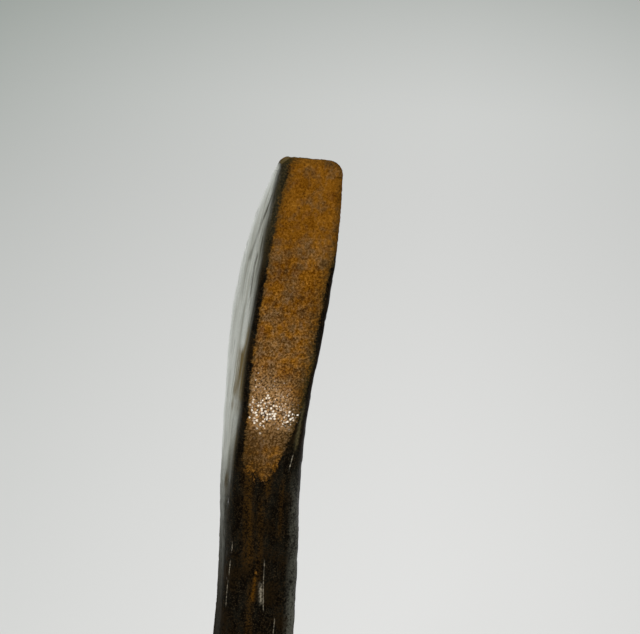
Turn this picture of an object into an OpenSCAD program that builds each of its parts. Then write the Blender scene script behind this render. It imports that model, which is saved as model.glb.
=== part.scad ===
// Cut track spike: one steel forging that holds the foot of a flat-bottomed rail down on a timber tie.
// It stands on the flat of its crown with the point up, on the axis of its shank.
// The lip, which reaches over the rail foot, is towards +Y.

/* [Shank] */
// Across the flats of the square shank, a 5/8 inch bar
shank_w = 15.9; // [13:0.1:19.1]
// Radius along the four corners of the shank
shank_corner_r = 4.6; // [1:0.1:5.2]
// Length along the axis from the underside of the head to the tip
under_head = 152.4; // [127:0.1:183]

/* [Head] */
// Height of the head, from the striking flat to its underside beside the shank
head_h = 17; // [14:0.5:21]
// Width of the head, along the rail
head_w = 31; // [29:0.5:37.5]
// Reach of the lip past the rail side of the shank
lip_reach = 16.5; // [13.5:0.5:20]
// Reach of the heel past the back of the shank
heel_reach = 3.6; // [3:0.2:6]
// Slope of the underside of the lip, in degrees, to match the top of the rail foot
lip_slope = 14; // [8:1:18]
// Height that the bevel under each ear takes off the side of the head
ear_drop = 5.5; // [2:0.5:7]
// Depth of the bow along each side of the head
side_bow = 3.4; // [1:0.2:5]
// Depth of the bow across the end of the lip
lip_bow = 4.8; // [1:0.2:6]
// Depth of the bow across the heel
heel_bow = 1.8; // [0.6:0.2:3]
// Depth that the rounding takes off each corner of the head, seen from above
corner_cut = 3; // [1:0.2:3.4]
// Radius of the dome on the crown
crown_r = 44; // [38:1:60]
// Radius of the flat that driving has beaten on the crown
strike_r = 9.5; // [6:0.5:11]

/* [Throat] */
// Thickness that the shank gains on the rail side where it meets the head
throat_gain = 3.6; // [0.5:0.1:4]
// Length below the head over which that gain fades out
throat_len = 62; // [30:1:66]
// Radius of the fillet between the shank and the head
throat_fillet = 2.4; // [1:0.1:2.8]

/* [Point] */
// Length of the steep facet, on the rail side
rail_facet_len = 35; // [24:1:42]
// Length of the gentle facet, on the back
back_facet_len = 60; // [40:1:72]
// Depth that the gentle facet takes off the back at the tip
back_facet_cut = 3.2; // [1:0.1:5]
// Thickness of the blunt tip
tip_t = 3.5; // [2.8:0.1:6]
// Width of the tip before its corners are rounded
tip_w = 14.1; // [11:0.1:18]
// Greatest width of the point, where forging has spread it past the shank
spread_w = 17; // [14:0.1:20.5]
// Distance from the tip to that greatest width
spread_at = 23; // [12:1:30]
// Radius along the four corners of the point
point_corner_r = 1.8; // [0.5:0.1:2.5]
// Radius at the two ends of the tip, seen from the back
tip_end_r = 2.8; // [1:0.1:5]
// Radius along the two long edges of the tip
tip_edge_r = 1; // [0.4:0.1:1.2]

/* [Bend and twist] */
// Angle of the bend that pulling has left in the shank, in degrees, towards +X
bend_angle = 6.8; // [0.5:0.1:12]
// Length of shank that the bend takes up
bend_len = 37; // [20:1:50]
// Straight length between the bend and the tip
bend_to_tip = 35; // [28:1:45]
// Angle of the twist that it has left as well, in degrees, anticlockwise seen from the tip
twist_angle = 13; // [-20:1:20]
// Length of shank that the twist takes up
twist_len = 59; // [20:1:70]
// Length between the end of the twist and the tip
twist_to_tip = 17; // [0:1:30]

/* [Hidden] */
$fn = 96;

half_w = shank_w / 2;
axis_len = head_h + under_head;

// Head: the ends of its plan, and where the flat beside the fillet gives way to the bevels
lip_y = half_w + lip_reach;
heel_y = -half_w - heel_reach;
plan_mid_y = (lip_y + heel_y) / 2;
plan_half_y = (lip_y - heel_y) / 2;
flat_x = half_w + throat_fillet;
lip_root_y = half_w + throat_gain + throat_fillet;
lip_end_z = head_h - (lip_y - lip_root_y) * tan(lip_slope);
heel_end_z = head_h - (heel_reach - throat_fillet);
crown_mid_z = sqrt(crown_r * crown_r - strike_r * strike_r);

// Bar: where it, its bend and its twist start and end along the axis
bar_start = head_h / 2;
throat_end = head_h + throat_len;
bend_end = axis_len - bend_to_tip;
bend_start = bend_end - bend_len;
bend_r = bend_len / (bend_angle * PI / 180);
twist_start = axis_len - twist_to_tip - twist_len;
// Stretch over which the shank's rounded corners tighten to those of the point
corner_ease_from = 34;
corner_ease_len = 48;
// Share of the steep facet's cut that is a plain wedge, the rest being its rounded start
wedge_share = 0.55;

// Pieces that each curve is drawn with
fillet_steps = 5;
shank_steps = 28;
point_steps = 20;
corner_steps = 3;

function mix(a, b, share) = a + (b - a) * share;
function clamp(v) = min(max(v, 0), 1);
function ease(share) = let (s = clamp(share)) s * s * (3 - 2 * s);
// What a quarter round takes off a face, at a distance from the end that it rounds
function round_off(r, away) = away >= r ? 0 : r - sqrt(r * r - (r - away) * (r - away));
// Radius of an arc from half its chord and the depth of its bow
function bow_r(half_chord, bow) = (half_chord * half_chord + bow * bow) / (2 * bow);

// Lean and centre of the section, in the XZ plane, at a length along the axis
function lean(at) = clamp((at - bend_start) / bend_len) * bend_angle;
function centre(at) =
    let (a = lean(at), before = min(at, bend_start), past = max(at - bend_end, 0))
    [bend_r * (1 - cos(a)) + past * sin(a), before + bend_r * sin(a) + past * cos(a)];

// Half width, back and rail side of the bar at a distance from the tip
function bar_half_w(tip) =
    let (full = tip < spread_at
        ? mix(tip_w, spread_w, sin(90 * tip / spread_at))
        : mix(spread_w, shank_w, ease((tip - spread_at) / bend_len)))
    full / 2 - round_off(tip_end_r, tip);
function back_y(tip) =
    let (share = clamp(1 - tip / back_facet_len))
    -half_w + back_facet_cut * share * share + round_off(tip_edge_r, tip);
function rail_y(tip) =
    let (share = clamp(1 - tip / rail_facet_len),
         cut = shank_w - back_facet_cut - tip_t)
    half_w - cut * mix(share * share, share, wedge_share) - round_off(tip_edge_r, tip);

// What the throat and the fillet add at a length along the axis
function throat(at) = throat_gain * clamp((throat_end - at) / throat_len);
function fillet(at) = round_off(throat_fillet, max(at - head_h, 0));

// Outline of the bar at a length along the axis: a rectangle with rounded corners
function section(at) =
    let (tip = axis_len - at,
         grow = fillet(at),
         w = bar_half_w(tip) + grow,
         rail = rail_y(tip) + throat(at) + grow,
         back = back_y(tip) - grow,
         wanted = mix(point_corner_r, shank_corner_r, ease((tip - corner_ease_from) / corner_ease_len)),
         r = min(wanted, 0.36 * (rail - back), 0.36 * w))
    [for (corner = [0:3], i = [0:corner_steps])
        let (a = 90 * (corner + i / corner_steps),
             x = corner == 0 || corner == 3 ? w - r : r - w,
             y = corner < 2 ? rail - r : back + r)
        [x + r * cos(a), y + r * sin(a)]];

// That outline in its place: twisted about the axis, then leaning with the bend
function ring(at) =
    let (mid = centre(at),
         a = lean(at),
         t = twist_angle * ease((at - twist_start) / twist_len))
    [for (p = section(at))
        let (across = p[0] * cos(t) - p[1] * sin(t))
        [mid[0] + across * cos(a), p[0] * sin(t) + p[1] * cos(t), mid[1] - across * sin(a)]];

stations = concat(
    [bar_start],
    [for (i = [0:fillet_steps]) head_h + throat_fillet * (1 - cos(90 * i / fillet_steps))],
    [for (i = [1:shank_steps]) mix(head_h + throat_fillet, bend_end, i / shank_steps)],
    [for (i = [1:point_steps]) axis_len - bend_to_tip * pow(1 - i / point_steps, 1.6)]
);

// Skin over a row of rings, closed with a flat face at each end
module swept_bar(rings) {
    sides = len(rings[0]);
    last = len(rings) - 1;
    walls = [for (i = [0:last - 1], j = [0:sides - 1])
        let (a = i * sides + j, b = i * sides + (j + 1) % sides)
        each [[a, a + sides, b], [b, a + sides, b + sides]]];
    start_face = [for (j = [0:sides - 1]) j];
    end_face = [for (j = [1:sides]) last * sides + sides - j];
    polyhedron([for (r = rings) each r], concat(walls, [start_face, end_face]), convexity = 4);
}

// Plan of the head: four bows, with the corners between them rounded by one circle
module head_plan() {
    side_r = bow_r(plan_half_y, side_bow);
    lip_r = bow_r(head_w / 2, lip_bow);
    heel_r = bow_r(head_w / 2, heel_bow);
    intersection() {
        translate([side_r - head_w / 2, plan_mid_y]) circle(side_r);
        translate([head_w / 2 - side_r, plan_mid_y]) circle(side_r);
        translate([0, lip_y - lip_r]) circle(lip_r);
        translate([0, heel_y + heel_r]) circle(heel_r);
        translate([0, plan_mid_y]) circle(norm([head_w / 2, plan_half_y]) - corner_cut);
    }
}

// Outline of the head along the rail: the bevel under each ear
module ears_profile() {
    polygon([
        [-head_w / 2, 0],
        [head_w / 2, 0],
        [head_w / 2, head_h - ear_drop],
        [flat_x, head_h],
        [-flat_x, head_h],
        [-head_w / 2, head_h - ear_drop]
    ]);
}

// Outline of the head across the rail: the sloping lip and the bevelled heel
module lip_profile() {
    polygon([
        [heel_y, 0],
        [lip_y, 0],
        [lip_y, lip_end_z],
        [lip_root_y, head_h],
        [-flat_x, head_h],
        [heel_y, heel_end_z]
    ]);
}

module head() {
    intersection() {
        linear_extrude(head_h) head_plan();
        rotate([90, 0, 0]) linear_extrude(4 * plan_half_y, center = true) ears_profile();
        rotate([90, 0, 90]) linear_extrude(2 * head_w, center = true) lip_profile();
        translate([0, 0, crown_mid_z]) sphere(crown_r);
    }
}

module spike() {
    color("saddlebrown") {
        head();
        swept_bar([for (at = stations) ring(at)]);
    }
}

spike();
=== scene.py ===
import math
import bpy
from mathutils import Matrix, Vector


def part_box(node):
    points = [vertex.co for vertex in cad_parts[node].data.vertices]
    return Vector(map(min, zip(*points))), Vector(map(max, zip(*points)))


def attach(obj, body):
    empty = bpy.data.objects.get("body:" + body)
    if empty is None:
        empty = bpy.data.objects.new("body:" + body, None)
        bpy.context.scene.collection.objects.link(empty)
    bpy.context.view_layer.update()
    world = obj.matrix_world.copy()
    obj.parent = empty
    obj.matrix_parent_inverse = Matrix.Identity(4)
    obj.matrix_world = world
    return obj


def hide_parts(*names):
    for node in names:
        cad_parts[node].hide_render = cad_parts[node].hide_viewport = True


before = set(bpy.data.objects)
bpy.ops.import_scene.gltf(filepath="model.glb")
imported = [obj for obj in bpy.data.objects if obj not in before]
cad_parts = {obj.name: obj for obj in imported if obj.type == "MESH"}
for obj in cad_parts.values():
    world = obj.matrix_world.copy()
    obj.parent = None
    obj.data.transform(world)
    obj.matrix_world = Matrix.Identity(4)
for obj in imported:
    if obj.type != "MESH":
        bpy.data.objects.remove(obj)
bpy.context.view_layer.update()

from types import SimpleNamespace

import bpy
import numpy as np
from mathutils import Matrix, Vector, noise

lowCorner, highCorner = (np.array(corner) * 1000 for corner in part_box("spike"))
print("frame loaded, the spike's box is", lowCorner.round(2), "to", highCorner.round(2), "mm")

camera = {
    "azimuth": -9.5,           # degrees, to the left of the spike's back
    "elevation": 12,           # degrees above the floor
    "roll": 3.3,               # degrees
    "distance": 0.3418,        # m
    "aim": (0.0111, 0.13526),  # m, to the right of the shank's axis and above the floor
    "lens": 90,                # mm
}


def placeCamera(c):
    azimuth, elevation, roll = (math.radians(c[key]) for key in ("azimuth", "elevation", "roll"))
    level = math.cos(elevation)
    back = Vector((math.sin(azimuth) * level, -math.cos(azimuth) * level, math.sin(elevation)))
    right = Vector((math.cos(azimuth), math.sin(azimuth), 0))
    up = back.cross(right)
    aim = right * c["aim"][0] + Vector((0, 0, c["aim"][1]))
    rolledRight = right * math.cos(roll) + up * math.sin(roll)
    rolledUp = up * math.cos(roll) - right * math.sin(roll)
    turn = Matrix((rolledRight, rolledUp, back)).transposed().to_4x4()
    data = bpy.data.cameras.new("camera")
    data.lens = c["lens"]
    data.clip_start = 0.01
    data.clip_end = 100
    eye = bpy.data.objects.new("camera", data)
    eye.matrix_world = Matrix.Translation(aim + back * c["distance"]) @ turn
    bpy.context.collection.objects.link(eye)
    bpy.context.scene.camera = eye
    return eye


eye = placeCamera(camera)
bpy.context.scene.view_settings.view_transform = "Standard"


class Sock:
    # wraps an output socket, so that sums and products of masks read as plain maths

    def __init__(self, tree, socket):
        self.tree = tree
        self.socket = socket

    def maths(self, operation, *others):
        node = self.tree.nodes.new("ShaderNodeMath")
        node.operation = operation
        for slot, value in zip(node.inputs, (self, *others)):
            if isinstance(value, Sock):
                self.tree.links.new(value.socket, slot)
            else:
                slot.default_value = value
        return Sock(self.tree, node.outputs[0])

    def __add__(self, other):
        return self.maths("ADD", other)

    def __sub__(self, other):
        return self.maths("SUBTRACT", other)

    def __rsub__(self, other):
        return (self * -1).maths("ADD", other)

    def __mul__(self, other):
        return self.maths("MULTIPLY", other)

    def __truediv__(self, other):
        return self.maths("DIVIDE", other)

    def __pow__(self, other):
        return self.maths("POWER", other)

    def __abs__(self):
        return self.maths("ABSOLUTE")

    __radd__ = __add__
    __rmul__ = __mul__

    def atLeast(self, other):
        return self.maths("MAXIMUM", other)

    def atMost(self, other):
        return self.maths("MINIMUM", other)

    def clamp(self):
        return self.atMost(1.0).atLeast(0.0)


class Finish:
    # one material or world, and its node tree

    def __init__(self, name, world=False):
        self.data = bpy.data.worlds.new(name) if world else bpy.data.materials.new(name)
        self.world = world
        self.data.use_nodes = True
        self.tree = self.data.node_tree
        self.tree.nodes.clear()

    def node(self, kind, settings=None, output=0, **values):
        # settings come first, then the sockets, named without spaces or by their place: at0, at1
        made = self.tree.nodes.new(kind)
        for key, value in (settings or {}).items():
            if key == "stops":
                self.setStops(made.color_ramp, value)
            else:
                setattr(made, key, value)
        for key, value in values.items():
            slot = self.socketOf(made, key)
            if isinstance(value, Sock):
                self.tree.links.new(value.socket, slot)
            else:
                slot.default_value = value
        return Sock(self.tree, made.outputs[output]) if made.outputs else None

    def setStops(self, ramp, stops):
        while len(ramp.elements) < len(stops):
            ramp.elements.new(1.0)
        for element, (place, colour) in zip(ramp.elements, stops):
            element.position = place
            element.color = (*colour, 1)

    def socketOf(self, made, key):
        usable = [slot for slot in made.inputs if slot.enabled]
        if key[:2] == "at" and key[2:].isdigit():
            return usable[int(key[2:])]
        return next(slot for slot in usable if slot.name.replace(" ", "") == key)

    def mapRange(self, value, low, high, outLow=0.0, outHigh=1.0):
        settings = {"interpolation_type": "SMOOTHSTEP", "clamp": True}
        return self.node("ShaderNodeMapRange", settings, Value=value, FromMin=low, FromMax=high,
                         ToMin=outLow, ToMax=outHigh)

    def mixColour(self, factor, first, second):
        # the node keeps its factor between 0 and 1 by itself
        first, second = ((*c, 1) if isinstance(c, tuple) else c for c in (first, second))
        return self.node("ShaderNodeMix", {"data_type": "RGBA"}, output=2, Factor=factor, A=first, B=second)

    def scaled(self, vector, scale):
        return self.node("ShaderNodeVectorMath", {"operation": "MULTIPLY"}, at0=vector, at1=scale)

    def dot(self, vector, other):
        settings = {"operation": "DOT_PRODUCT"}
        return self.node("ShaderNodeVectorMath", settings, output=1, at0=vector, at1=tuple(other))

    def length(self, vector):
        return self.node("ShaderNodeVectorMath", {"operation": "LENGTH"}, output=1, at0=vector)

    def noise(self, vector, scale, detail, rough):
        return self.node("ShaderNodeTexNoise", Vector=vector, Scale=scale, Detail=detail, Roughness=rough)

    def cells(self, vector, scale):
        # distance to the nearest of many scattered points
        return self.node("ShaderNodeTexVoronoi", Vector=vector, Scale=scale)

    def cellTone(self, vector, scale, channel):
        # one random value for each cell, a different one in each channel
        colour = self.node("ShaderNodeTexVoronoi", output=1, Vector=vector, Scale=scale)
        return self.node("ShaderNodeSeparateColor", output="RGB".index(channel), Color=colour)

    def mark(self, name, output=2):
        return self.node("ShaderNodeAttribute", {"attribute_name": name}, output=output)

    def surface(self, shader):
        self.node("ShaderNodeOutputWorld" if self.world else "ShaderNodeOutputMaterial", Surface=shader)
        return self.data


spike = {
    # sizes in mm, the same as the CAD model's
    "shankWide": 15.9,
    "shankCornerR": 4.6,
    "underHead": 152.4,    # from the underside of the head to the tip, along the axis
    "headHigh": 17.0,
    "lipSlope": 14,        # degrees
    "earDrop": 5.5,
    "sideBow": 3.4,
    "lipBow": 4.8,
    "heelBow": 1.8,
    "cornerCut": 3.0,
    "crownR": 44,
    "strikeR": 9.5,
    "throatGain": 3.6,
    "throatLong": 62,
    "throatFillet": 2.4,
    "railFacetLong": 35,
    "backFacetLong": 60,
    "backFacetCut": 3.2,
    "tipThick": 3.5,
    "tipWide": 14.1,
    "spreadWide": 17.0,
    "spreadAt": 23,        # from the tip
    "pointCornerR": 1.8,
    "tipEndR": 2.8,
    "tipEdgeR": 1.0,
    "bendAngle": 6.8,      # degrees
    "bendLong": 37,
    "bendToTip": 35,
    "twistAngle": 13,      # degrees
    "twistLong": 59,
    "twistToTip": 17,
    "cornerEaseFrom": 34,  # from the tip, where the corners start to grow rounder
    "cornerEaseLong": 48,
    "cornerMost": 0.36,    # of the bar's thickness and of its half width
    "wedgeShare": 0.55,    # how much of the rail facet is a straight wedge
    # mesh: points round the section, and the rings along it
    "flatSteps": 46,
    "sideSteps": 22,
    "cornerSteps": 13,
    "fineRing": 0.3,
    "coarseRing": 0.6,
    "fineFrom": 56,        # above this height the rings are fine
    "filletRings": 8,
    "endRings": 15,
    "endLong": 3,          # over which the rings draw closer towards the tip
    "endCrowd": 1.7,
    "endShares": (0.82, 0.6, 0.36, 0.15),  # the rings that close the end
}

axisLong = spike["headHigh"] + spike["underHead"]
halfShank = spike["shankWide"] / 2
bendEnd = axisLong - spike["bendToTip"]
bendStart = bendEnd - spike["bendLong"]
bendR = spike["bendLong"] / math.radians(spike["bendAngle"])
twistStart = axisLong - spike["twistToTip"] - spike["twistLong"]


def mix(a, b, share):
    return a + (b - a) * share


def ease(share):
    s = np.clip(share, 0, 1)
    return s * s * (3 - 2 * s)


def between(low, high, value):
    # 0 before low, 1 after high, and eased in between
    return ease((value - low) / (high - low))


def hump(middle, reach, value):
    return np.exp(-((value - middle) / reach) ** 2)


def roundOff(r, away):
    # what a quarter round takes off a face, at a distance from the end that it rounds
    left = np.clip(r - away, 0, r)
    return r - np.sqrt(r * r - left * left)


def softMin(values, sharp):
    values = np.array(values)
    return np.sum(values ** -sharp, axis=0) ** (-1 / sharp)


def barSection(at):
    # half width, rail side, back and corner radius of the bar at lengths along its axis
    s = spike
    tip = axisLong - at
    grow = roundOff(s["throatFillet"], np.maximum(at - s["headHigh"], 0))
    nearTip = mix(s["tipWide"], s["spreadWide"], np.sin(np.clip(tip / s["spreadAt"], 0, 1) * math.pi / 2))
    further = mix(s["spreadWide"], s["shankWide"], ease((tip - s["spreadAt"]) / s["bendLong"]))
    half = np.where(tip < s["spreadAt"], nearTip, further) / 2 - roundOff(s["tipEndR"], tip) + grow
    share = np.clip(1 - tip / s["backFacetLong"], 0, 1)
    back = -halfShank + s["backFacetCut"] * share ** 2 + roundOff(s["tipEdgeR"], tip) - grow
    share = np.clip(1 - tip / s["railFacetLong"], 0, 1)
    cut = (s["shankWide"] - s["backFacetCut"] - s["tipThick"]) * mix(share ** 2, share, s["wedgeShare"])
    throat = s["throatGain"] * np.clip((s["headHigh"] + s["throatLong"] - at) / s["throatLong"], 0, 1)
    rail = halfShank - cut - roundOff(s["tipEdgeR"], tip) + throat + grow
    rounder = ease((tip - s["cornerEaseFrom"]) / s["cornerEaseLong"])
    most = s["cornerMost"] * np.minimum(rail - back, half)
    corner = np.minimum(mix(s["pointCornerR"], s["shankCornerR"], rounder), most)
    return half, rail, back, corner


def outline(at):
    # points and outward directions round the bar, one row for each length in at
    half, rail, back, corner = barSection(at)
    signs = ((1, 1), (-1, 1), (-1, -1), (1, -1))
    centres = [(sx * (half - corner), rail - corner if sy > 0 else back + corner) for sx, sy in signs]
    points = []
    for k, (cx, cy) in enumerate(centres):
        for i in range(spike["cornerSteps"]):
            a = math.pi / 2 * (k + i / spike["cornerSteps"])
            points.append((cx + corner * math.cos(a), cy + corner * math.sin(a), a))
        ex, ey = centres[(k + 1) % 4]
        a = math.pi / 2 * (k + 1)
        steps = spike["sideSteps" if k % 2 else "flatSteps"]
        for i in range(steps):
            share = i / steps
            points.append((mix(cx, ex, share) + corner * math.cos(a),
                           mix(cy, ey, share) + corner * math.sin(a), a))
    x = np.stack([p[0] for p in points], axis=1)
    y = np.stack([p[1] for p in points], axis=1)
    angle = np.array([p[2] for p in points])
    return x, y, np.broadcast_to(np.cos(angle), x.shape), np.broadcast_to(np.sin(angle), x.shape)


def aroundFromBack(x, y):
    # distance round each ring from the middle of the back, positive towards +X
    step = np.hypot(np.roll(x, -1, axis=1) - x, np.roll(y, -1, axis=1) - y)
    run = np.cumsum(step, axis=1) - step
    middle = 3 * spike["cornerSteps"] + spike["flatSteps"] + spike["sideSteps"] + spike["flatSteps"] // 2
    whole = step.sum(axis=1)[:, None]
    return (run - run[:, middle:middle + 1] + whole / 2) % whole - whole / 2


def placed(at, x, y):
    # a section's points, twisted about the axis and leaning with the bend
    t = np.radians(spike["twistAngle"]) * ease((at - twistStart) / spike["twistLong"])[:, None]
    lean = np.radians(spike["bendAngle"]) * np.clip((at - bendStart) / spike["bendLong"], 0, 1)[:, None]
    past = np.maximum(at - bendEnd, 0)[:, None]
    before = np.minimum(at, bendStart)[:, None]
    across = x * np.cos(t) - y * np.sin(t)
    px = bendR * (1 - np.cos(lean)) + past * np.sin(lean) + across * np.cos(lean)
    py = x * np.sin(t) + y * np.cos(t)
    pz = before + bendR * np.sin(lean) + past * np.cos(lean) - across * np.sin(lean)
    return np.stack([px, py, pz], axis=-1)


headMesh = {
    "slack": 0.3,       # mm that the plan stays inside the CAD model's
    "bulge": 0.012,     # how far the wall swells, as a share of its reach
    "planSharp": 34,    # how sharply the curves of the plan meet
    "underSharp": 120,  # and the slopes of the underside
    "crownRings": 36,
    "wallRings": 24,
    "underRings": 16,
    "softenPasses": 8,  # how often the edges between its faces are eased
    "softenFrom": 6,    # rings before the wall where that starts
}


def bowRadius(halfChord, deep):
    return (halfChord * halfChord + deep * deep) / (2 * deep)


def planReach(directions):
    # how far the head's plan reaches from the shank's axis, in each direction
    s = spike
    lipY, heelY, halfWide = highCorner[1], lowCorner[1], highCorner[0]
    midY, halfY = (lipY + heelY) / 2, (lipY - heelY) / 2
    sideR = bowRadius(halfY, s["sideBow"])
    lipR = bowRadius(halfWide, s["lipBow"])
    heelR = bowRadius(halfWide, s["heelBow"])
    circles = [((sideR - halfWide, midY), sideR),
               ((halfWide - sideR, midY), sideR),
               ((0, lipY - lipR), lipR),
               ((0, heelY + heelR), heelR),
               ((0, midY), math.hypot(halfWide, halfY) - s["cornerCut"])]
    reaches = []
    for (cx, cy), r in circles:
        along = directions[:, 0] * cx + directions[:, 1] * cy
        reaches.append(along + np.sqrt(along ** 2 - cx * cx - cy * cy + r * r))
    return softMin(reaches, headMesh["planSharp"])


def underside(x, y):
    # height of the underside of the head: flat by the shank, then the lip, ears and heel fall away
    s = spike
    flat = halfShank + s["throatFillet"]
    lipRoot = flat + s["throatGain"]
    ears = s["headHigh"] - (np.abs(x) - flat) * s["earDrop"] / (highCorner[0] - flat)
    lip = s["headHigh"] - (y - lipRoot) * math.tan(math.radians(s["lipSlope"]))
    heel = s["headHigh"] - (-y - flat)
    return softMin([np.full_like(x, s["headHigh"]), ears, lip, heel], headMesh["underSharp"])


def crownDrop(r):
    # how far the crown has fallen away from the strike flat, at a distance from the axis
    s = spike
    middle = math.sqrt(s["crownR"] ** 2 - s["strikeR"] ** 2)
    return np.where(r < s["strikeR"], 0, middle - np.sqrt(s["crownR"] ** 2 - r * r))


def headRings(firstRing):
    # from the middle of the crown, over the dome, up the wall and in to the foot of the shank
    directions = firstRing / np.linalg.norm(firstRing, axis=1)[:, None]
    reach = planReach(directions) - headMesh["slack"]
    edge = directions * reach[:, None]
    rings = []
    for i in range(1, headMesh["crownRings"] + 1):
        share = i / headMesh["crownRings"]
        rings.append(np.column_stack([edge * share, crownDrop(reach * share)]))
    under = underside(edge[:, 0], edge[:, 1])
    for i in range(1, headMesh["wallRings"] + 1):
        share = i / headMesh["wallRings"]
        bulge = 1 + headMesh["bulge"] * math.sin(math.pi * share) * (1 - share)
        rings.append(np.column_stack([edge * bulge, mix(crownDrop(reach), under, share)]))
    for i in range(1, headMesh["underRings"]):
        flat = mix(edge, firstRing, i / headMesh["underRings"])
        rings.append(np.column_stack([flat, underside(flat[:, 0], flat[:, 1])]))
    return np.array(rings)


def soften(grid, passes, first, last):
    # eases the edges between the head's faces, along the rings
    share = np.zeros((len(grid) - 2, 1, 1))
    share[first:last] = 1
    for _ in range(passes):
        eased = (grid[:-2] + 2 * grid[1:-1] + grid[2:]) / 4
        grid[1:-1] = mix(grid[1:-1], eased, share)
    return grid


def barStations():
    s = spike
    turns = np.linspace(0, math.pi / 2, s["filletRings"])
    fillet = s["headHigh"] + s["throatFillet"] * (1 - np.cos(turns))
    coarse = np.arange(fillet[-1] + s["coarseRing"], s["fineFrom"], s["coarseRing"])
    fine = np.arange(s["fineFrom"], axisLong - s["endLong"], s["fineRing"])
    end = axisLong - s["endLong"] * (1 - np.linspace(0, 1, s["endRings"])) ** s["endCrowd"]
    return np.concatenate([fillet, coarse, fine, end])


def fractal(points, scale, octaves=3, seed=0.0):
    # -1 to 1 noise at each point, with bumps about 1/scale mm across
    shift = Vector((seed * 17.3, seed * 5.1, seed * 9.7))
    found = [noise.fractal(Vector(p) * scale + shift, 1.0, 2.0, octaves) for p in points.reshape(-1, 3)]
    return np.array(found).reshape(points.shape[:-1])


def nearest(points, scale, seed=0.0):
    # distance to the nearest of many scattered points, in cells
    shift = Vector((seed * 13.1, seed * 7.7, seed * 3.3))
    found = [noise.voronoi(Vector(p) * scale + shift)[0][0] for p in points.reshape(-1, 3)]
    return np.array(found).reshape(points.shape[:-1])


def outwards(grid):
    # outward direction at each point of a grid of rings
    along = np.gradient(grid, axis=0)
    around = np.roll(grid, -1, axis=1) - np.roll(grid, 1, axis=1)
    normal = np.cross(around, along)
    return normal / np.maximum(np.linalg.norm(normal, axis=2), 1e-9)[..., None]


at = barStations()
x, y, turnX, turnY = outline(at)
bar = placed(at, x, y)
head = headRings(np.column_stack([x[0], y[0]]))
headCount = len(head)
softenFrom = headMesh["crownRings"] - headMesh["softenFrom"]
grid = soften(np.concatenate([head, bar]), headMesh["softenPasses"], softenFrom, headCount - 1)
straight = np.stack([x, y, np.broadcast_to(at[:, None], x.shape)], axis=-1)
local = np.concatenate([head, straight])      # before the twist and the bend
facing = outwards(grid)
print("shape:", grid.shape[0], "rings of", grid.shape[1], "points")

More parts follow.
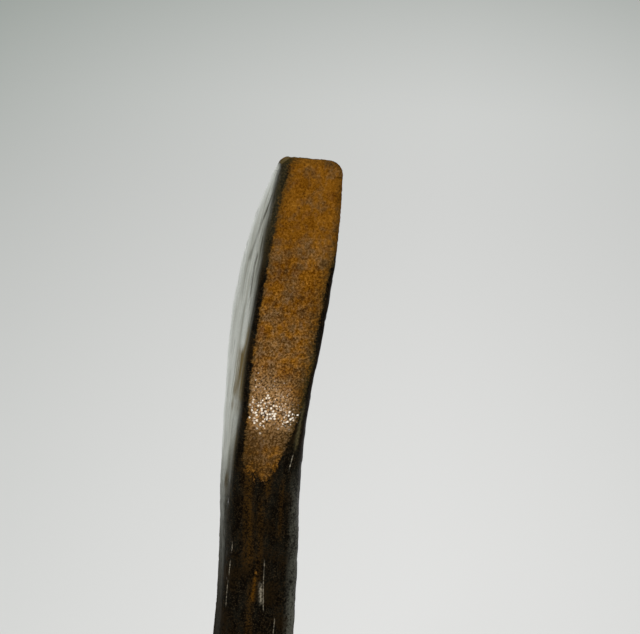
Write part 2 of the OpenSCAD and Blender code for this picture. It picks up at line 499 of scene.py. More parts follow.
# wear, and the places of the painted glints, highlights, reflections and shade
wearAndPaintedLight = {
    # depths, thicknesses and widths in mm; lengths are from the tip
    "rustRelief": 0.1,         # grains of rust on the point
    "pitDeep": 0.16,
    "streakDeep": 0.05,        # drag marks along the sides
    "scaleThick": 0.08,        # plates of forging scale on the shank
    "scaleDrag": 0.06,         # and the drag marks in it
    "skinThick": 0.12,         # the whole bar is uneven by this much
    "bloomThick": 0.06,
    "wetThick": 0.05,
    "dentDeep": 0.45,          # hammer marks on the crown
    "headWorn": 0.22,
    "headRough": 0.08,
    "tongueEnd": 68.5,         # where the rust on the back ends
    "tongueRight": 1.7,        # how much sooner it ends for each mm to the right
    "tongueSweep": 0.12,
    "tongueLeft": 0.7,
    "tongueFade": (3.4, -2.2),
    "railRustPast": 12,        # how far it goes past the facet on the rail side
    "rustLeft": 0.25,          # how far it reaches past the flat on the left
    "rustRight": (-0.1, 0.8),  # and on the right, nearer to the tip and further from it
    "tipRound": 19,            # as far as this it goes round the right corner
    "roundReach": 3.2,
    "rustSoft": (0.65, 1.25, 1.2),  # softness of its edge: left, left at the tip, right
    # the rubbed sides: where they start past the flat and where they are whole
    "rubEnd": (0.5, 5.0),
    "rubLeft": (1.0, 2.5),
    "rubRight": (3.6, 7.5),
    "brightTo": 64.5,          # they are bright up to here
    "brightFade": 12,          # and then darken over about this length
    "brightEdge": 7,           # which starts this much sooner beside the back
    "glintAt": 51.8,
    "glintSlant": 0.5,
    "glintLong": 5.6,
    "glintMiddle": -1.2,       # mm to the right
    "glintSides": (8.0, 3.0),  # mm from there, where it is gone and where it is whole
    # middle and reach to the right, middle and reach from the tip
    "flecks": ((-1.8, 3.1), (53.6, 3.7)),
    "moreFlecks": ((3.6, 1.8), (54.6, 2.0)),
    # middle and reach from the tip
    "greyBand": (57, 7),
    "paleBand": (46, 11),
    # the shape differs from an even bar in these
    "sway": 0.42,              # the shank bows this much to the right below the bend
    "swellHigh": 0.5,          # and swells this much on its left
    "tipLevel": 0.04,          # rise of the end for each mm to the right, which levels it
    "leftEndR": 1.5,           # the end's left corner is sharper than the right one
    # lengths from the tip at which something is gone, and at which it is whole
    "fades": {
        "roundCorner": (25, 14), "rightFurther": (37, 42), "rightEnds": (58, 53), "leftDrawsIn": (7, 2),
        "softTip": (24, 12), "end": (1.4, 0.4), "thinner": (54, 60), "thinnest": (62, 68),
        "thinLeft": (56, 62), "thinRight": (52, 57), "warmTip": (30, 8), "rubSpreads": (5, 13),
        "pale": (74, 60), "worn": (62, 76), "burnish": (0.0, 2.5), "railStain": (60, 50),
        "tipRim": (22, 14), "rightRim": (15, 24), "leftRim": (20, 4), "endRim": (1.2, 0.5),
        "darkBand": (27, 15), "rubbedCorner": (63, 76), "rubbedMore": (92, 102), "glossy": (60, 72),
        "glossyHead": (104, 120), "bloom": (92, 128), "levelled": (14, 2), "drawnIn": (4, 0.5),
        "drawnInEarly": (14, 4), "sway": (72, 86), "swayEnds": (150, 118), "swell": (102, 114),
        "swellEnds": (136, 118),
    },
    # the same, in mm past the flat of the back
    "edges": {
        "rightRim": (-1.0, 1.4), "rightRimWide": (-3.4, -0.2), "leftRim": (-0.9, 0.6),
        "leftRimWide": (-2.6, -0.2), "darkBand": (-1.0, 0.2), "darkBandEnds": (2.6, 1.2),
        "besideBack": (7.5, 1.5), "paleBand": (6, 10),
    },
    # the same, in mm to the right
    "sides": {"thinLeft": (-0.5, -4), "thinRight": (3, 6), "endFace": (5, 0), "rubbedCorner": (4.9, 6.9)},
    # places to the right and from the tip, each with how far it reaches
    "warmPatches": (((3.0, 25), 2.6), ((5.0, 49), 1.8), ((-4.6, 28), 1.5), ((2.0, 44), 1.6)),
    "greyPatches": (((4.4, 54), 0.9), ((-1.0, 24), 1.6), ((-5.0, 33), 1.6), ((3.6, 61), 1.4),
                    ((-4.8, 42), 1.2)),
    "spots": (((5.5, 8.8), 0.45), ((1.9, 61.4), 0.5), ((3.2, 42.4), 0.5), ((-1.3, 89.6), 0.34)),
    # marks along the spike: (from the tip, place across) points, width and strength
    "smears": ((((7, 2.2), (10.9, 3.0), (14, 3.9)), 0.62, 0.9),
               (((13, 3.7), (17.2, 5.5), (20.3, 6.7), (23.5, 8.3)), 0.85, 0.62),
               (((23, 8.1), (26.6, 9.0), (31, 9.5)), 0.9, 0.3),
               (((16.2, 2.6), (20.3, 2.45), (24.5, 2.4)), 0.42, 0.9),
               (((20.5, 3.4), (23.5, 4.1), (27, 4.1), (30.5, 4.0)), 0.55, 0.85),
               (((30, 3.1), (33.1, 2.8), (37, 2.1)), 0.5, 0.7),
               (((32, 6.4), (43, 5.9)), 0.7, 0.32)),
    "patches": ((((36, 1.8), (43, 2.1)), 0.85, 0.8), (((41, 3.6), (46.4, 3.7), (51.5, 4.3)), 2.9, 1.05),
                (((44, 2.0), (52, 2.3)), 1.1, 1.0), (((52.4, 5.3), (54.4, 5.3)), 1.3, 0.75),
                (((52, 2.9), (54.5, 3.2)), 0.9, 0.6), (((58.5, 2.2), (67, 2.2)), 0.9, 0.5),
                (((68, 4.0), (71.5, 5.0)), 1.3, 0.8)),
    "wetPatches": ((((92.2, -0.2), (96.6, 0.15)), 0.32, 0.42),),
    "oliveLines": ((((51, 6.4), (61.5, 5.8)), 0.3, 0.8),),
    "stains": ((((64, -3.7), (78, -3.3), (88, -3.0)), 1.0, 0.85), (((66, 0.8), (72, 0.7)), 0.7, 1.0),
               (((69, 3.9), (82, 3.6)), 0.5, 0.45), (((73, -0.4), (92, -1.2)), 0.8, 0.5),
               (((80, -4.2), (88, -4.0)), 0.5, 0.5), (((93, -2.5), (112, -2.2)), 0.7, 0.6)),
    "drips": ((((90.5, -1.3), (96, -1.75)), 0.36, 1.0),),
    # thin painted highlight lines on the flat and on the left corner: points and strength
    "wetLines": ((((62.4, 5.5), (66.8, 4.9)), 0.6), (((86.2, 0.45), (91.6, 0.42), (98.8, 0.75)), 0.28),
                 (((99.8, 3.3), (107, 3.1)), 0.32)),
    "cornerLines": ((((82.4, 1.58), (85.4, 1.66)), 0.42), (((86.6, 1.8), (90.6, 2.05)), 0.52),
                    (((91.2, 2.15), (98, 2.45)), 0.36)),
    "cornerFrom": -2,          # mm to the right, where the flat's lines give way to the corner's
    # the rubbed left side, by how far from the tip: (from the tip, mm past the flat) points; shadeTo is
    # where the painted shade towards the corner gives way, farEdge where the painted reflection at the far
    # edge starts
    "shadeTo": ((0, 3.2), (14, 4.6), (24, 4.9), (30, 4.7), (36, 3.0), (40, 2.9), (45, 5.6),
                (56, 5.2), (68, 5.6)),
    "farEdge": ((4, 4.9), (11, 7.8), (20, 10.8), (30, 13.5), (36, 14.8), (48, 14.4), (66, 14.0)),
}


def overBar(values):
    # a value for each point of the bar, and nothing on the head
    values = np.broadcast_to(values, x.shape)
    return np.concatenate([np.zeros((headCount, x.shape[1])), values])


halfAt, _, backAt, cornerAt = (values[:, None] for values in barSection(at))
arc = aroundFromBack(x, y)
isBar = overBar(1.0)
tip = axisLong - local[..., 2]
onBack = overBar(np.clip(-turnY, 0, 1))
onRail = overBar(np.clip(turnY, 0, 1))
onSide = overBar(np.abs(turnX))
toLeft = overBar(np.clip(-turnX, 0, 1))
toRight = overBar(np.clip(turnX, 0, 1))
across = overBar(x)                            # mm to the right
pastFlat = overBar(np.abs(arc) - (halfAt - cornerAt))  # mm beyond the flat of the back
isLeft = across < 0
isRight = across > 0


def drawnOut(share):
    # the same places, for a noise that is long and thin along the spike
    return local * np.array([1, 1, share])


broad = fractal(local, 0.2, octaves=3, seed=1)
ragged = fractal(local, 0.9, octaves=3, seed=2)
grains = fractal(local, 2.0, octaves=3, seed=3)
pebbles = nearest(local, 1.7, seed=4)
drag = fractal(drawnOut(0.05), 0.95, octaves=4, seed=5)
plates = fractal(drawnOut(0.35), 0.45, octaves=4, seed=6)
pits = fractal(local, 0.75, octaves=2, seed=7)
dents = nearest(drawnOut(0.3), 0.28, seed=8)
clouds = fractal(local, 0.11, octaves=4, seed=9)
print("noise done")

w = wearAndPaintedLight


def fade(name, shift=0):
    return between(*w["fades"][name], tip + shift)


def edge(name, shift=0):
    return between(*w["edges"][name], pastFlat + shift)


def sideways(name):
    return between(*w["sides"][name], across)


def marksAlong(lines, place, soften=0.7):
    # marks that follow their points along the spike
    found = 0
    for knots, wide, strength in lines:
        tips, places = zip(*knots)
        starts = between(tips[0] - soften, tips[0] + soften, tip)
        ends = between(tips[-1] + soften, tips[-1] - soften, tip)
        mark = strength * starts * ends * hump(np.interp(tip, tips, places), wide, place)
        found = np.maximum(found, mark)
    return found


def alongLines(lines, place, soften=1.2):
    # how far it is to the lines, and how strongly they show: the finish draws them, finer than the mesh
    away = place - np.interp(tip, *zip(*[knot for knots, strength in lines for knot in knots]))
    shown = 0
    for knots, strength in lines:
        first, last = knots[0][0], knots[-1][0]
        ends = between(first, first + soften, tip) * between(last, last - soften, tip)
        shown = np.maximum(shown, strength * ends)
    return away, shown


def patchesAt(patches, waver=0.6):
    found = 0
    for (right, down), reach in patches:
        found = found + hump(right, reach, across + waver * ragged) * hump(down, reach * 1.4, tip)
    return found


# the rust on the back ends in a tongue, and goes round the right corner only near the tip
onFront = onBack > 0.5
rightWay = np.maximum(across, 0)
tongue = w["tongueEnd"] - rightWay * w["tongueRight"] - rightWay ** 2 * w["tongueSweep"]
tongue = tongue - np.maximum(-across, 0) * w["tongueLeft"]
leftReach = w["rustLeft"] - 0.4 * fade("leftDrawsIn")
rightReach = mix(*w["rustRight"], fade("rightFurther")) * fade("rightEnds")
rustReach = mix(np.where(isRight, rightReach, leftReach), w["roundReach"],
                fade("roundCorner", 2 * ragged) * isRight)
softLeft, softTip, softRight = w["rustSoft"]
soft = np.where(isRight & (tip > w["tipRound"]), softRight, mix(softLeft, softTip, fade("softTip")))
backRust = between(soft, -soft, pastFlat - rustReach + 0.3 * ragged) * isBar
backRust = backRust * between(*w["tongueFade"], tip - tongue - 1.6 * ragged)
railEnd = spike["railFacetLong"] + w["railRustPast"] + 5 * ragged
railRust = between(0.9, 0.99, onRail) * between(4, -4, tip - railEnd)
endRust = fade("end") * isBar
rust = np.maximum(np.maximum(backRust, railRust), endRust)
# it is thinner and darker towards the tongue's end
thin = 0.5 * fade("thinner") + 0.35 * fade("thinnest") + 0.42 * sideways("thinLeft") * fade("thinLeft")
thin = np.clip(thin + 0.3 * sideways("thinRight") * fade("thinRight"), 0, 0.95)
warm = np.clip(0.6 * fade("warmTip") + 0.9 * patchesAt(w["warmPatches"]), 0, 1)
grey = np.clip(patchesAt(w["greyPatches"]) + 0.7 * hump(*w["greyBand"], tip), 0, 1)
spots = patchesAt(w["spots"], 0) * onFront

# rubbed sides, with smears, a brown patch and drag marks, painted shade towards the corner and a painted
# reflection at the far edge
rubFrom, rubWhole = (mix(mix(end, left, fade("rubSpreads")), right, isRight)
                     for end, left, right in zip(w["rubEnd"], w["rubLeft"], w["rubRight"]))
sideFlat = between(rubFrom, rubWhole, pastFlat) * between(0.4, 0.8, onSide)
besideBack = edge("besideBack") * toLeft
darkFrom = w["brightTo"] - w["brightEdge"] * besideBack
darkLong = w["brightFade"] * (1 - 0.35 * besideBack)
bright = np.exp(-np.maximum(tip + 1.5 * drag - darkFrom, 0) / darkLong)
onLeftSide = between(0, 0.5, toLeft)
sideStain = np.clip(marksAlong(w["patches"], pastFlat + 0.3 * drag, 1.5), 0, 1) * onLeftSide
sideStain += 0.5 * toRight * between(0.1, 0.6, broad) + 0.5 * onRail * between(-0.2, 0.4, broad)
# painted shade: the left side darkens towards the corner beside the back, and the smears mask carries it
shade = between(np.interp(tip, *zip(*w["shadeTo"])) + 0.5 * drag, 1.2, pastFlat)
smears = marksAlong(w["smears"], pastFlat + 0.35 * drag, 1.2) * toLeft
smears = np.maximum(smears, 0.97 * shade * onLeftSide)
farEdge = np.interp(tip, *zip(*w["farEdge"]))
# painted reflection: the left side is painted paler near its far edge and in a band past its middle
pale = between(-2.7, 0.5, pastFlat - farEdge) * fade("pale") * toLeft
pale = np.maximum(pale, 0.35 * edge("paleBand") * hump(*w["paleBand"], tip) * toLeft)
worn = 1 - 0.4 * fade("worn") * between(-0.1, 0.45, ragged + 0.5 * drag + 0.4 * broad)
burnish = sideFlat * bright * fade("burnish") * mix(worn, 1, isRight)

# the glint zone, glossy from the coat and painted a paler tan as a painted highlight, and the cluster of
# painted glints in it
glint = backRust * hump(w["glintAt"] + w["glintSlant"] * across, w["glintLong"], tip)
glint = glint * between(*w["glintSides"], np.abs(across - w["glintMiddle"]))
right, down = w["flecks"]
cluster = backRust * hump(*right, across + 0.5 * ragged) * hump(*down, tip + ragged)
right, down = w["moreFlecks"]
cluster = np.maximum(cluster, backRust * hump(*right, across) * hump(*down, tip))

# stains, painted shade on the rims, painted highlights and the end face
stain = marksAlong(w["stains"], across + 0.25 * drag, 2.5) * between(0.8, 0.97, onBack)
railStain = 0.6 * between(0.8, 0.97, onRail) * fade("railStain") * between(-0.2, 0.3, broad)
stain = np.maximum(stain, railStain)
# painted shade: the rust is darkened on the rounded corners beside the back and near the end of the point
darkRim = 0.85 * isRight * edge("rightRim") * mix(1, 0.55, fade("tipRim"))
darkRim += 0.6 * isRight * edge("rightRimWide", ragged) * fade("rightRim")
darkRim += 0.75 * isLeft * edge("leftRim", 0.3 * ragged)
darkRim += 0.4 * isLeft * edge("leftRimWide", 0.6 * ragged) * fade("leftRim")
darkRim = darkRim * between(0.95, 0.5, onRail) + 0.35 * fade("endRim")
through = overBar((y - backAt + roundOff(spike["tipEdgeR"], axisLong - at)[:, None]) / spike["tipThick"])
endFace = endRust * between(0.25, 0.4, through) * between(0.9, 0.75, through) * sideways("endFace")
# painted highlights: a pale run on the flat, which the mesh also raises, and thin pale lines on the flat
# and the left corner
wetPatch = marksAlong(w["wetPatches"], across, 0.8) * onFront
flatAway, flatShown = alongLines(w["wetLines"], across)
cornerAway, cornerShown = alongLines(w["cornerLines"], pastFlat)
onCorner = across < w["cornerFrom"]
lineAway = np.where(onCorner, cornerAway, flatAway) + 0.06 * ragged
lineShown = np.where(onCorner, cornerShown, flatShown) * between(0.02, 0.1, onBack) * isBar
olive = marksAlong(w["oliveLines"], across + 0.2 * ragged, 1.5) * (onBack > 0.2)
darkBand = edge("darkBand") * edge("darkBandEnds") * fade("darkBand")
olive = np.maximum(olive, 0.24 * isLeft * darkBand * isBar)
drip = marksAlong(w["drips"], across + 0.3 * ragged) * onFront
# below the tongue the right corner is painted a mottled grey, a painted reflection of the pale room
rubbedCorner = sideways("rubbedCorner") * between(0.15, 0.6, onBack) * fade("rubbedCorner")
rubbedCorner = rubbedCorner * (0.7 + 0.6 * fade("rubbedMore"))
# the corners of the shank still have glossy scale, and the flats are dull
corners = between(0.97, 0.85, onBack) * between(0.98, 0.88, onSide)
glossy = 0.12 * corners * fade("glossy") + 0.35 * toRight ** 4 + 0.3 * onRail + 0.1 * fade("glossyHead")
# lower down, rust has bloomed through the scale
nearHead = between(40, 10, local[..., 2])
bloom = between(0.06, 0.36, clouds + 0.25 * ragged + 0.35 * nearHead) * fade("bloom")

# grains and pits of rust, drag marks, and plates of scale
relief = w["rustRelief"] * rust * np.clip(0.9 * grains + 0.5 * (pebbles * 1.6 - 1), -1.4, 1.2)
relief -= w["pitDeep"] * rust * between(0.3, 0.62, pits)
relief -= w["streakDeep"] * sideFlat * drag
scaly = isBar * (1 - rust) * (1 - burnish)
relief += w["scaleThick"] * scaly * (between(0.05, -0.05, plates + 0.2 * ragged) - 0.5)
relief += w["scaleDrag"] * scaly * np.clip(drag, -1, 1)
relief += w["skinThick"] * isBar * (1 + broad)
relief += w["swellHigh"] * toLeft * fade("swell") * fade("swellEnds")
relief -= toLeft * (0.5 * fade("drawnIn") + 0.3 * fade("drawnInEarly"))
relief += w["wetThick"] * wetPatch + w["bloomThick"] * bloom * np.clip(grains, -0.5, 1)

# the head: hammer dents on the crown, wear, and scale
isHead = 1 - isBar
fromAxis = np.hypot(local[..., 0], local[..., 1])
onCrown = isHead * between(8, 3, grid[..., 2]) * between(0.3, 0.8, -facing[..., 2])
relief -= w["dentDeep"] * onCrown * between(0.55, 0.1, dents) * between(2, 9, fromAxis)
relief -= isHead * w["headWorn"] * np.clip(broad + 0.3, 0, 1)
relief -= isHead * w["headRough"] * np.clip(ragged + 0.5, 0, 1.5)
relief -= isHead * w["scaleThick"] * between(-0.05, 0.05, plates)

grid = grid + facing * relief[..., None]
grid[..., 0] += w["sway"] * fade("sway") * fade("swayEnds")
grid[..., 2] += w["tipLevel"] * across * fade("levelled")
sharper = roundOff(spike["tipEndR"], axisLong - at) - roundOff(w["leftEndR"], axisLong - at)
grid[..., 0] -= overBar(sharper[:, None] * between(0.3, 0.9, -x / halfAt))
grid = np.clip(grid, lowCorner, highCorner)     # nothing reaches past the CAD model's box
print("relief done, from", relief.min().round(3), "to", relief.max().round(3), "mm")


def skin(name, rings, marks):
    # one closed mesh over the rings, with a point in the middle at each end
    count, around = rings.shape[:2]
    points = np.concatenate([rings.reshape(-1, 3), [rings[0].mean(axis=0), rings[-1].mean(axis=0)]])
    i, j = np.meshgrid(np.arange(count - 1), np.arange(around), indexing="ij")
    a = i * around + j
    b = i * around + (j + 1) % around
    quads = np.stack([a, b, b + around, a + around], axis=-1).reshape(-1, 4).tolist()
    start, end, last = count * around, count * around + 1, (count - 1) * around
    steps = [(k, (k + 1) % around) for k in range(around)]
    caps = [(start, after, before) for before, after in steps]
    caps += [(end, last + before, last + after) for before, after in steps]
    mesh = bpy.data.meshes.new(name)
    mesh.from_pydata((points / 1000).tolist(), [], quads + caps)
    mesh.polygons.foreach_set("use_smooth", [True] * len(mesh.polygons))
    for mark, values in marks.items():
        wide = 3 if values.ndim == 3 else 1
        ends = [values[0].mean(axis=0), values[-1].mean(axis=0)]
        flat = np.concatenate([values.reshape(-1, wide), np.reshape(ends, (2, wide))])
        kind, field = ("FLOAT_VECTOR", "vector") if wide == 3 else ("FLOAT", "value")
        layer = mesh.attributes.new(mark, kind, "POINT")
        layer.data.foreach_set(field, flat.astype(np.float32).ravel())
    piece = bpy.data.objects.new(name, mesh)
    bpy.context.collection.objects.link(piece)
    return piece


def closedIn(field):
    # the end of the bar closes in to the middle of the tip
    middle = field[-1].mean(axis=0)
    return np.concatenate([field, [mix(middle, field[-1], share) for share in spike["endShares"]]])


masks = {
    "rust": rust, "burnish": burnish, "glint": glint, "cluster": cluster, "stain": stain,
    "sideStain": sideStain, "smears": smears, "darkRim": darkRim, "endFace": endFace, "olive": olive,
    "wetPatch": wetPatch, "lineAway": lineAway, "lineShown": lineShown, "drip": drip,
    "rubbedCorner": rubbedCorner, "crown": onCrown, "glossy": isBar * glossy + isHead * 0.3,
    "bloom": bloom, "thin": thin, "warm": warm, "grey": grey, "spots": spots, "pale": pale,
}
marks = {name: closedIn(values) for name, values in {"along": local, **masks}.items()}
body = skin("forged_spike", closedIn(grid), marks)
print("mesh:", len(body.data.polygons), "faces")

steel = {
    # light and dark grains of one hue, for golden rust and for dull rust
    "goldStops": [(0.0, (0.058, 0.016, 0.0008)), (0.25, (0.104, 0.036, 0.0018)),
                  (0.5, (0.161, 0.061, 0.0042)), (0.75, (0.233, 0.095, 0.009)), (1.0, (0.345, 0.15, 0.02))],
    "dullStops": [(0.0, (0.034, 0.013, 0.0016)), (0.25, (0.067, 0.03, 0.0065)),
                  (0.5, (0.106, 0.053, 0.0155)), (0.75, (0.158, 0.087, 0.031)),
                  (1.0, (0.235, 0.137, 0.06))],
    "rustOrange": (0.36, 0.14, 0.004),
    # the tan of the painted highlight in the glint zone
    "rustTan": (0.43, 0.24, 0.092),
    "rustAsh": (0.135, 0.078, 0.042),
    "spot": (0.23, 0.1, 0.016),
    "umber": (0.04, 0.019, 0.004),
    "pit": (0.014, 0.006, 0.002),
    # the colour of the painted shade on the rims
    "rim": (0.024, 0.018, 0.006),
    "endFace": (0.075, 0.055, 0.022),
    "bloomStops": [(0.2, (0.012, 0.008, 0.005)), (0.48, (0.04, 0.02, 0.008)),
                   (0.85, (0.12, 0.052, 0.012))],
    "scale": (0.0022, 0.0016, 0.001),
    "scaleGreen": (0.0055, 0.0052, 0.0036),
    "scaleGrain": (0.028, 0.02, 0.011),
    "stain": (0.038, 0.0185, 0.004),
    "stainDeep": (0.012, 0.0068, 0.0024),
    # the rubbed side's grey, partly the bare steel's own colour and partly a painted reflection of the pale
    # room
    "bright": (0.56, 0.58, 0.53),
    "brightDull": (0.4, 0.405, 0.35),
    # the dark of the side's smears and lines, also used for its painted shade
    "streak": (0.05, 0.047, 0.034),
    "sideStain": (0.105, 0.078, 0.034),
    "olive": (0.085, 0.07, 0.032),
    # the grey of the painted reflection on the right corner
    "cornerGrey": (0.066, 0.066, 0.052),
    "palePolish": (0.73, 0.75, 0.71),
    # the colour of the painted glints
    "fleck": (0.95, 0.86, 0.72),
    # the colour of the painted highlights
    "wet": (0.54, 0.475, 0.35),
    "crown": (0.11, 0.1, 0.088),
    "glossLevel": 0.0,    # the plain surface has no gloss; the oil over it is the coat
    "coatRough": 0.13,
    "bumpDeep": 0.0003,   # m
    "lineHalf": 0.15,     # half the width of the wet lines, in mm
    "plainTip": (44, 6),  # from the tip, where the rust's grain starts to even out and where it is even
    # painted glints, big and small, to the mm
    "bigFlecks": 1.8,     # flecks to the mm
    "smallFlecks": 2.7,
}


def rustColour(f, c, along, m, tones):
    # grains of light and dark over soft golden and dull patches, with a few pits
    grain, fine, patch, speck = tones
    uneven, even = c["plainTip"]
    plain = f.mapRange(f.dot(along, (0, 0, 1)), axisLong - uneven, axisLong - even)
    tone = (grain - 0.5) * 2.5 + (fine - 0.5) * 1.7 + (speck - 0.5) * 0.36
    tone = tone * (1.0 - plain * 0.5) + (patch - 0.5) * 0.8 + 0.5
    dull = f.node("ShaderNodeValToRGB", {"stops": c["dullStops"]}, Fac=tone)
    golden = f.node("ShaderNodeValToRGB", {"stops": c["goldStops"]}, Fac=tone)
    hue = (f.noise(along, 0.24, 2, 0.6) - 0.5) * 3.4 + (f.noise(along, 0.85, 1, 0.5) - 0.5) * 2.0
    hue = hue + 0.50 + m.warm * 0.5 - m.grey * 0.5
    colour = f.mixColour(hue, dull, golden)
    ash = f.mapRange(f.noise(f.scaled(along, (1, 1, 0.8)), 0.42, 2, 0.55) + m.grey * 0.06, 0.56, 0.72)
    ash = ash * f.mapRange(tone, 0.2, 0.8, 0.1, 0.6) * (1 - m.warm)
    colour = f.mixColour(ash, colour, c["rustAsh"])
    # painted highlight: the glint zone is painted a paler tan, and the gaps between its painted glints are
    # darkened as painted shade
    tan = m.glint * f.mapRange(grain, 0.40, 0.62, 0.1, 0.75)
    tan = tan + m.cluster * f.mapRange(grain, 0.40, 0.58, 0.1, 0.9)
    colour = f.mixColour(tan, colour, c["rustTan"])
    gaps = f.mapRange(f.cells(along, c["bigFlecks"]), 0.42, 0.62) * m.cluster * 0.8
    gaps = gaps + m.glint * f.mapRange(grain, 0.46, 0.38, 0.0, 0.5)
    colour = f.mixColour(gaps, colour, c["pit"])
    pit = f.mapRange(f.cells(along, 0.6), 0.13, 0.06)
    return f.mixColour(pit * 0.7, colour, c["pit"])


def scaleColour(f, c, m, tones):
    # nearly black forging scale, with crackled brown stains that run along the shank
    grain, fine, patch, streak, flake = tones
    colour = f.mixColour(f.mapRange(flake, 0.42, 0.64), c["scale"], c["scaleGreen"])
    colour = f.mixColour(f.mapRange(grain + (fine - 0.5) * 1.4, 0.52, 0.80), colour, c["scaleGrain"])
    colour = f.mixColour(f.mapRange(patch + (grain - 0.5) * 0.8, 0.44, 0.66) * 0.7, colour, c["stainDeep"])
    run = (streak - 0.5) * 0.8 + (grain - 0.5) * 1.8 + (fine - 0.5) * 1.4 + (flake - 0.5) * 0.8
    run = f.mapRange(run, -0.34, 0.40, 0.0, 1.5)
    colour = f.mixColour(m.stain * run, colour, c["stain"])
    return f.mixColour(m.drip * f.mapRange(grain, 0.35, 0.62, 0.03, 0.2), colour, c["rustOrange"])


def paintedGlintMask(f, c, along, m, grain, fine):
    # painted glints: a cell of either size has one where its own random value is high enough
    big, small = c["bigFlecks"], c["smallFlecks"]
    chosen = f.mapRange(f.cellTone(along, big, "B") + m.cluster * 0.82, 1.0, 1.26)
    blot = f.cells(along, big) + (fine - 0.5) * 0.9 + (grain - 0.5) * 0.6
    mask = chosen * f.mapRange(blot, 0.52, 0.32) * 0.92
    chosen = f.mapRange(f.cellTone(along, small, "B") + m.glint * 0.15 + m.cluster * 0.10, 1.0, 1.16)
    blot = f.cells(along, small) + (fine - 0.5) * 0.8 + (grain - 0.5) * 0.5
    return (mask + chosen * f.mapRange(blot, 0.50, 0.26) * 0.75).clamp()


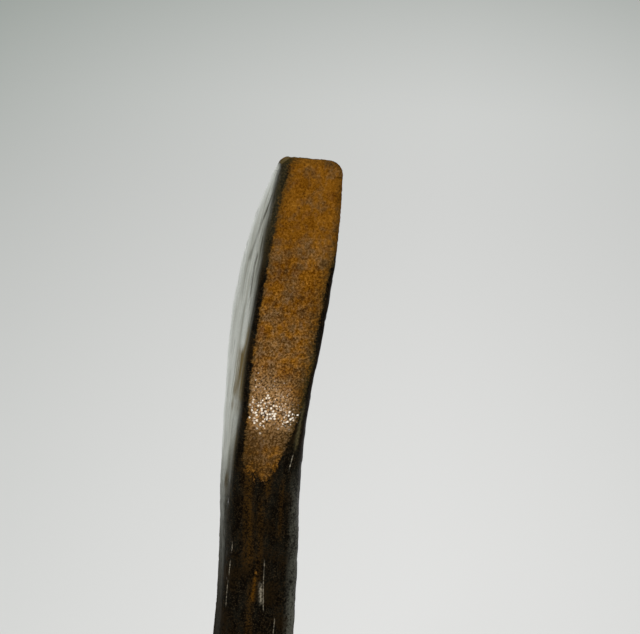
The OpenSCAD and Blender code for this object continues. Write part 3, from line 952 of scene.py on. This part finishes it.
def steelFinish(c):
    f = Finish("forged_steel")
    along = f.mark("along", 1)
    m = SimpleNamespace(**{name: f.mark(name) for name in masks})

    grain = f.noise(along, 2.3, 3, 0.6)
    fine = f.noise(along, 6.0, 2, 0.6)
    patch = f.noise(along, 0.17, 3, 0.6)
    speck = f.cellTone(along, 2.6, "R")
    lengthwise = f.scaled(along, (1.0, 1.0, 0.045))
    streak = f.noise(lengthwise, 1.1, 4, 0.55)
    flow = f.noise(lengthwise, 0.75, 2, 0.5)
    hair = f.noise(f.scaled(along, (1.0, 1.0, 0.02)), 6.0, 3, 0.6)
    flake = f.noise(f.scaled(along, (1, 1, 0.3)), 0.8, 5, 0.65)

    rusty = rustColour(f, c, along, m, (grain, fine, patch, speck))
    umber = m.thin * f.mapRange(grain + (fine - 0.5) * 0.5, 0.35, 0.65, 1.15, 0.55)
    rusty = f.mixColour(umber, rusty, c["umber"])
    # painted shade on the rims of the rust
    rusty = f.mixColour(m.darkRim * f.mapRange(grain, 0.35, 0.65, 1.0, 0.65), rusty, c["rim"])
    rusty = f.mixColour(m.endFace, rusty, c["endFace"])
    scaly = scaleColour(f, c, m, (grain, fine, patch, streak, flake))
    scaly = f.mixColour(m.olive * f.mapRange(grain, 0.35, 0.65, 0.4, 1.1), scaly, c["olive"])
    # painted reflection: a mottled grey on the right corner
    mottle = f.mapRange(flake * 0.6 + grain * 0.7 + fine * 0.3, 0.62, 0.98, 0.05, 1.4)
    scaly = f.mixColour(m.rubbedCorner * mottle, scaly, c["cornerGrey"])
    scaly = f.mixColour(m.crown * f.mapRange(flake, 0.35, 0.6), scaly, c["crown"])
    bloomTone = (grain - 0.5) * 1.8 + (fine - 0.5) * 1.2 + (flake - 0.5) * 0.8 + 0.5
    bloomColour = f.node("ShaderNodeValToRGB", {"stops": c["bloomStops"]}, Fac=bloomTone)
    scaly = f.mixColour(f.mapRange(m.bloom + (flake - 0.5) * 1.2, 0.3, 0.75), scaly, bloomColour)

    # rubbed sides, with soft dark smears and wavy lines where the scale is left in the drag marks; the
    # smears also carry painted shade towards the corner
    lines = f.mapRange(abs(flow - 0.5), 0.004, 0.04, 1.0, 0.0) * f.mapRange(patch, 0.40, 0.54)
    smearAndShade = (m.smears * f.mapRange(streak, 0.3, 0.6, 0.75, 1.1)).clamp()
    bare = (1 - lines * 0.35) * (1 - smearAndShade)
    rubbedWithPaintedLight = f.mixColour(f.mapRange(streak, 0.36, 0.66), c["bright"], c["brightDull"])
    # painted reflection at the side's far edge
    rubbedWithPaintedLight = f.mixColour(m.pale, rubbedWithPaintedLight, c["palePolish"])
    rubbedWithPaintedLight = f.mixColour(bare, c["streak"], rubbedWithPaintedLight)
    stained = m.sideStain * f.mapRange(streak * 0.6 + hair * 0.4, 0.40, 0.58, 0.55, 1.2)
    rubbedWithPaintedLight = f.mixColour(stained, rubbedWithPaintedLight, c["sideStain"])

    rustMask = f.mapRange(m.rust + (grain - 0.5) * 1.1 + (fine - 0.5) * 0.6, 0.25, 0.72)
    brightMask = (m.burnish * (1 + (streak - 0.5) * 0.7 + (grain - 0.5) * 0.5)).clamp()
    scaleMask = (1 - rustMask) * (1 - brightMask)
    colour = f.mixColour(brightMask, scaly, rubbedWithPaintedLight)
    colour = f.mixColour(rustMask, colour, rusty)
    colour = f.mixColour(f.mapRange(m.spots + (grain - 0.5) * 0.9, 0.25, 1.0) * 0.6, colour, c["spot"])

    # painted glints, and painted highlight lines
    fleck = paintedGlintMask(f, c, along, m, grain, fine)
    colour = f.mixColour(fleck, colour, c["fleck"])
    # painted highlights: pale lines and a pale run where a lamp's gloss shows
    line = m.lineShown * f.mapRange(abs(m.lineAway), c["lineHalf"], 0.0)
    wet = m.wetPatch * f.mapRange(grain + (fine - 0.5) * 0.6, 0.38, 0.62, 0.15, 1.0)
    wet = wet + line * f.mapRange(grain, 0.36, 0.62, 0.15, 1.1)
    colour = f.mixColour(wet, colour, c["wet"])

    metallic = (brightMask * bare * (1 - rustMask) * (1 - m.sideStain) * 0.55).clamp()
    plain = 0.64 + flake * 0.25
    rough = plain + (0.34 + streak * 0.2 - plain) * brightMask
    rough = rough + (0.85 - rough) * rustMask
    rough = rough + (0.3 - rough) * fleck
    coat = (scaleMask * m.glossy * (0.2 + flake * 1.4) + m.glint * m.glint * 0.25).clamp()

    high = (grain + fine * 0.2 - f.cells(along, 2.2) * 0.5 * m.glint) * rustMask * (1 + m.glint * 1.4)
    high = high + (streak * 0.4 + hair * 0.2) * brightMask * (1 - rustMask)
    high = high + (flake * 0.8 + fine * 0.12 + streak * 0.5 + hair * 0.2) * scaleMask
    bump = f.node("ShaderNodeBump", Strength=0.7, Distance=c["bumpDeep"], Height=high)

    shader = f.node("ShaderNodeBsdfPrincipled", BaseColor=colour, Metallic=metallic, Roughness=rough,
                    SpecularIORLevel=c["glossLevel"], CoatWeight=coat, CoatRoughness=c["coatRough"],
                    Normal=bump)
    return f.surface(shader)


body.data.materials.append(steelFinish(steel))
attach(body, "root")
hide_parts("spike")
print("finish done")

studio = {
    "floorReach": 12,          # m
    "floorColour": (0.7, 0.705, 0.69),
    "near": (0.79, 0.79, 0.78),
    "far": (0.31, 0.34, 0.315),
    "farPale": 0.34,           # how pale those two are, in green
    "nearPale": 0.79,
    "horizonDrop": 0.31,       # how much paleness is lost at the horizon
    "horizonFade": 0.12,       # and how quickly, as a fall per metre ahead
    "sideMiddle": 0.075,       # the palest place is this much to the right
    "sideDrop": 2.1,           # how much is lost to either side of it
    "sideMost": 0.3,
    "sideCurve": 1.5,
    "sideLift": 1.3,           # less of it is lost lower down
    "sideEnds": (0.3, 0.6),    # and none from here round to the back
    "shadowShare": 0.35,       # how much of the light on the floor shows near the spike
    "shadowReach": (0.4, 2.5),  # m over which that fades out
    "ambient": 0.62,
    "darkSide": 0.02,          # how pale the room in front of the spike looks in its gloss
    "paleSide": 0.85,
    "paleWay": (0.62, 0.785, 0),  # the pale side lies this way
    "paleFloor": (0.25, 0.6),  # and starts here on the floor, in m
    "paleRoom": (-0.05, 0.35),
}


def backdropColour(f, s, place, sideWay):
    # a pale gradient that darkens into the distance and away from the middle, a painted fall-off of the
    # light on the backdrop
    reach = f.length(f.scaled(place, (1, 1, 0))).atLeast(0.001)
    fall = abs(f.dot(place, (0, 0, 1))) / reach
    pale = s["nearPale"] - s["horizonDrop"] * (fall * (-1 / s["horizonFade"])).maths("EXPONENT")
    side = f.dot(place, sideWay) / reach
    aside = abs(side - s["sideMiddle"]).atMost(s["sideMost"])
    loss = aside ** s["sideCurve"] * s["sideDrop"] * (fall * -s["sideLift"]).maths("EXPONENT")
    pale = pale - pale * loss * f.mapRange(abs(side), *s["sideEnds"], 1.0, 0.0)
    return f.mixColour((pale - s["farPale"]) / (s["nearPale"] - s["farPale"]), s["far"], s["near"])


def byRay(f, lit, seen, gloss):
    # what lights the spike, what the camera sees, and what shows in the spike's gloss
    isCamera, isGlossy = (f.node("ShaderNodeLightPath", output=output) for output in (0, 3))
    shader = f.node("ShaderNodeMixShader", at0=isCamera, at1=lit, at2=seen)
    return f.surface(f.node("ShaderNodeMixShader", at0=isGlossy, at1=shader, at2=gloss))


def rightOfCamera():
    ahead = -eye.matrix_world.col[2].to_3d()
    return Vector((ahead.y, -ahead.x, 0)).normalized()


def floorFinish(s):
    f = Finish("pale_floor")
    onFloor = f.node("ShaderNodeNewGeometry")
    place = f.node("ShaderNodeVectorMath", {"operation": "SUBTRACT"}, at0=onFloor,
                   at1=tuple(eye.matrix_world.translation))
    colour = backdropColour(f, s, place, rightOfCamera())
    lit = f.node("ShaderNodeBsdfDiffuse", Color=(*s["floorColour"], 1))
    glow = f.node("ShaderNodeEmission", Color=colour, Strength=1.0)
    share = f.mapRange(f.length(onFloor), *s["shadowReach"], s["shadowShare"], 0.0)
    seen = f.node("ShaderNodeMixShader", at0=share, at1=glow, at2=lit)
    pale = f.mapRange(f.dot(place, s["paleWay"]), *s["paleFloor"], s["darkSide"], s["paleSide"])
    gloss = f.node("ShaderNodeEmission", Color=(1, 1, 1, 1), Strength=pale)
    return byRay(f, lit, seen, gloss)


def worldFinish(s):
    f = Finish("pale_room", world=True)
    way = f.node("ShaderNodeTexCoord")
    colour = backdropColour(f, s, way, rightOfCamera())
    lit = f.node("ShaderNodeBackground", Color=(1, 1, 1, 1), Strength=s["ambient"])
    seen = f.node("ShaderNodeBackground", Color=colour, Strength=1.0)
    pale = f.mapRange(f.dot(way, s["paleWay"]), *s["paleRoom"], s["darkSide"], s["paleSide"])
    gloss = f.node("ShaderNodeBackground", Color=(1, 1, 1, 1), Strength=pale)
    return byRay(f, lit, seen, gloss)


def makeFloor(s):
    reach = s["floorReach"]
    mesh = bpy.data.meshes.new("floor")
    corners = [(-reach, -reach, 0), (reach, -reach, 0), (reach, reach, 0), (-reach, reach, 0)]
    mesh.from_pydata(corners, [], [(0, 1, 2, 3)])
    floor = bpy.data.objects.new("floor", mesh)
    bpy.context.collection.objects.link(floor)
    mesh.materials.append(floorFinish(s))


lamps = {
    # places and sizes in m, power in W
    "key": {"place": (-0.55, -0.6, 0.95), "aim": (0, 0, 0.1), "size": 0.5, "power": 9.0, "gloss": False},
    "fill": {"place": (0.75, -0.55, 0.55), "aim": (0, 0, 0.1), "size": 0.6, "power": 2.5, "gloss": False},
    "low": {"place": (0.108, -0.405, 0.033), "aim": (0, 0, 0.115), "size": 0.03, "power": 0.3,
            "gloss": True, "colour": (1.0, 0.84, 0.66)},
    "left": {"place": (-0.3, 0.04, 0.016), "aim": (0, 0, 0.08), "size": 0.02, "power": 0.1, "gloss": True},
}


def makeLamp(name, s):
    # a lamp gives either the even light or the highlights
    data = bpy.data.lights.new(name, "AREA")
    data.size = s["size"]
    data.energy = s["power"]
    data.color = s.get("colour", (1, 1, 1))
    lamp = bpy.data.objects.new(name, data)
    lamp.location = s["place"]
    lamp.rotation_euler = (Vector(s["aim"]) - Vector(s["place"])).to_track_quat("-Z", "Y").to_euler()
    lamp.visible_camera = False
    lamp.visible_glossy = s["gloss"]
    lamp.visible_diffuse = not s["gloss"]
    bpy.context.collection.objects.link(lamp)


makeFloor(studio)
bpy.context.scene.world = worldFinish(studio)
for name, settings in lamps.items():
    makeLamp(name, settings)
print("studio done")
